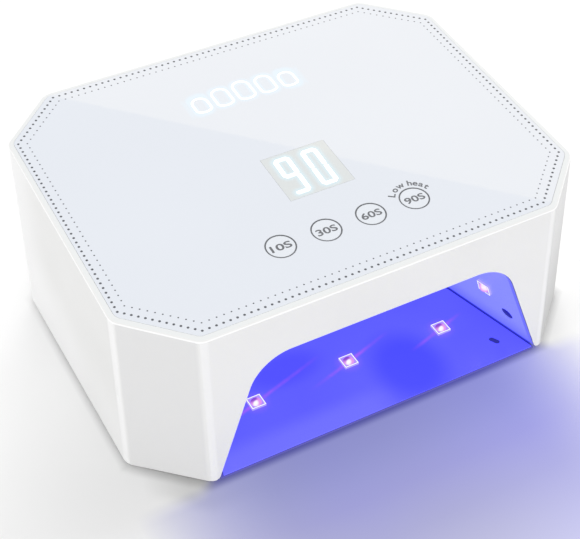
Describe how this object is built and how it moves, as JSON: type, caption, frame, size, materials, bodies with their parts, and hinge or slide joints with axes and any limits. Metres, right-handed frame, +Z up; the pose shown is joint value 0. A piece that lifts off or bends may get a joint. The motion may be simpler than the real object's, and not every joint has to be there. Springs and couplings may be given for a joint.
{
  "type": "uv led nail lamp",
  "caption": "Low octagonal tabletop lamp for curing gel nails, with a hand opening in front, a sloping glossy panel with a digital display and round timer keys, and LEDs round the hand cavity.",
  "frame": {"origin": "centre of the footprint, on the surface that the rubber feet stand on", "axes": "+X along the long side, to the right of someone facing the hand opening; -Y out of the hand opening; +Z up"},
  "size_m": [0.2144, 0.1643, 0.091],
  "materials": {
    "shell_white": "satin moulded ABS",
    "panel_white": "high gloss acrylic sheet, back printed",
    "window_grey": "translucent glossy insert",
    "adhesive": "double sided film",
    "key_white": "high gloss",
    "black_plastic": "matte",
    "dark_plastic": "matte",
    "segment_cyan": "lit segment",
    "board_green": "solder mask",
    "board_white": "white solder mask on aluminium",
    "flex_white": "flexible circuit",
    "steel": "zinc plated",
    "tin": "tinned",
    "brass": "turned",
    "reflector_coat": "metallised reflector coating",
    "mirror_sheet": "mirror finish",
    "base_dark": "dark powder coat",
    "foot_rubber": "soft",
    "led_white": "white LED package",
    "lens_clear": "clear silicone dome",
    "light_guide": "milky diffuser",
    "can_sleeve": "shrink sleeve",
    "ferrite": "ferrite drum core",
    "alu_fin": "extruded",
    "wire_white": "insulated lead",
    "cable_grey": "sheathed cable"
  },
  "bodies": {
    "lamp": {"housing": "shell_white", "top_panel": "panel_white", "display_window": "window_grey", "panel_adhesive": "adhesive", "control_board": "board_green", "display_module": "black_plastic", "display_pins": "tin", "display_segments": "segment_cyan", "switch_bases": "black_plastic", "switch_covers": "tin", "switch_domes": "steel", "emblem_light_guide": "light_guide", "emblem_lamps": "led_white", "control_chip": "black_plastic", "control_small_parts": "dark_plastic", "ribbon_socket": "light_guide", "control_board_screws": "steel", "reflector": "reflector_coat", "ceiling_led_packages": "led_white", "ceiling_led_lenses": "lens_clear", "left_led_packages": "led_white", "left_led_lenses": "lens_clear", "right_led_packages": "led_white", "right_led_lenses": "lens_clear", "base_led_packages": "led_white", "base_led_lenses": "lens_clear", "ceiling_led_board": "board_white", "left_led_board": "board_white", "right_led_board": "board_white", "base_led_board": "flex_white", "ceiling_heat_plate": "alu_fin", "mirror_plate": "mirror_sheet", "base_plate": "base_dark", "base_screws": "steel", "rubber_feet": "foot_rubber", "sensor_emitter": "black_plastic", "sensor_receiver": "black_plastic", "sensor_holder": "dark_plastic", "driver_board": "board_green", "driver_standoffs": "brass", "driver_screws": "steel", "power_capacitors": "can_sleeve", "power_inductor": "ferrite", "driver_chips": "black_plastic", "heat_sink": "alu_fin", "led_sockets": "light_guide", "inlet_jack": "black_plastic", "jack_pin": "brass", "led_leads": "wire_white", "control_cable": "cable_grey"},
    "key_10s_body": {"key_10s": "key_white", "plunger_10s": "dark_plastic"},
    "key_30s_body": {"key_30s": "key_white", "plunger_30s": "dark_plastic"},
    "key_60s_body": {"key_60s": "key_white", "plunger_60s": "dark_plastic"},
    "key_90s_body": {"key_90s": "key_white", "plunger_90s": "dark_plastic"}
  },
  "joints": [
    {"name": "press_10s", "type": "slide", "parent": "lamp", "child": "key_10s_body", "axis": [0, 0.0817, -0.9967], "range_m": [0, 0.0004], "stiffness_N_per_m": 4000, "springref_m": -0.0001},
    {"name": "press_30s", "type": "slide", "parent": "lamp", "child": "key_30s_body", "axis": [0, 0.0817, -0.9967], "range_m": [0, 0.0004], "stiffness_N_per_m": 4000, "springref_m": -0.0001},
    {"name": "press_60s", "type": "slide", "parent": "lamp", "child": "key_60s_body", "axis": [0, 0.0817, -0.9967], "range_m": [0, 0.0004], "stiffness_N_per_m": 4000, "springref_m": -0.0001},
    {"name": "press_90s", "type": "slide", "parent": "lamp", "child": "key_90s_body", "axis": [0, 0.0817, -0.9967], "range_m": [0, 0.0004], "stiffness_N_per_m": 4000, "springref_m": -0.0001}
  ]
}
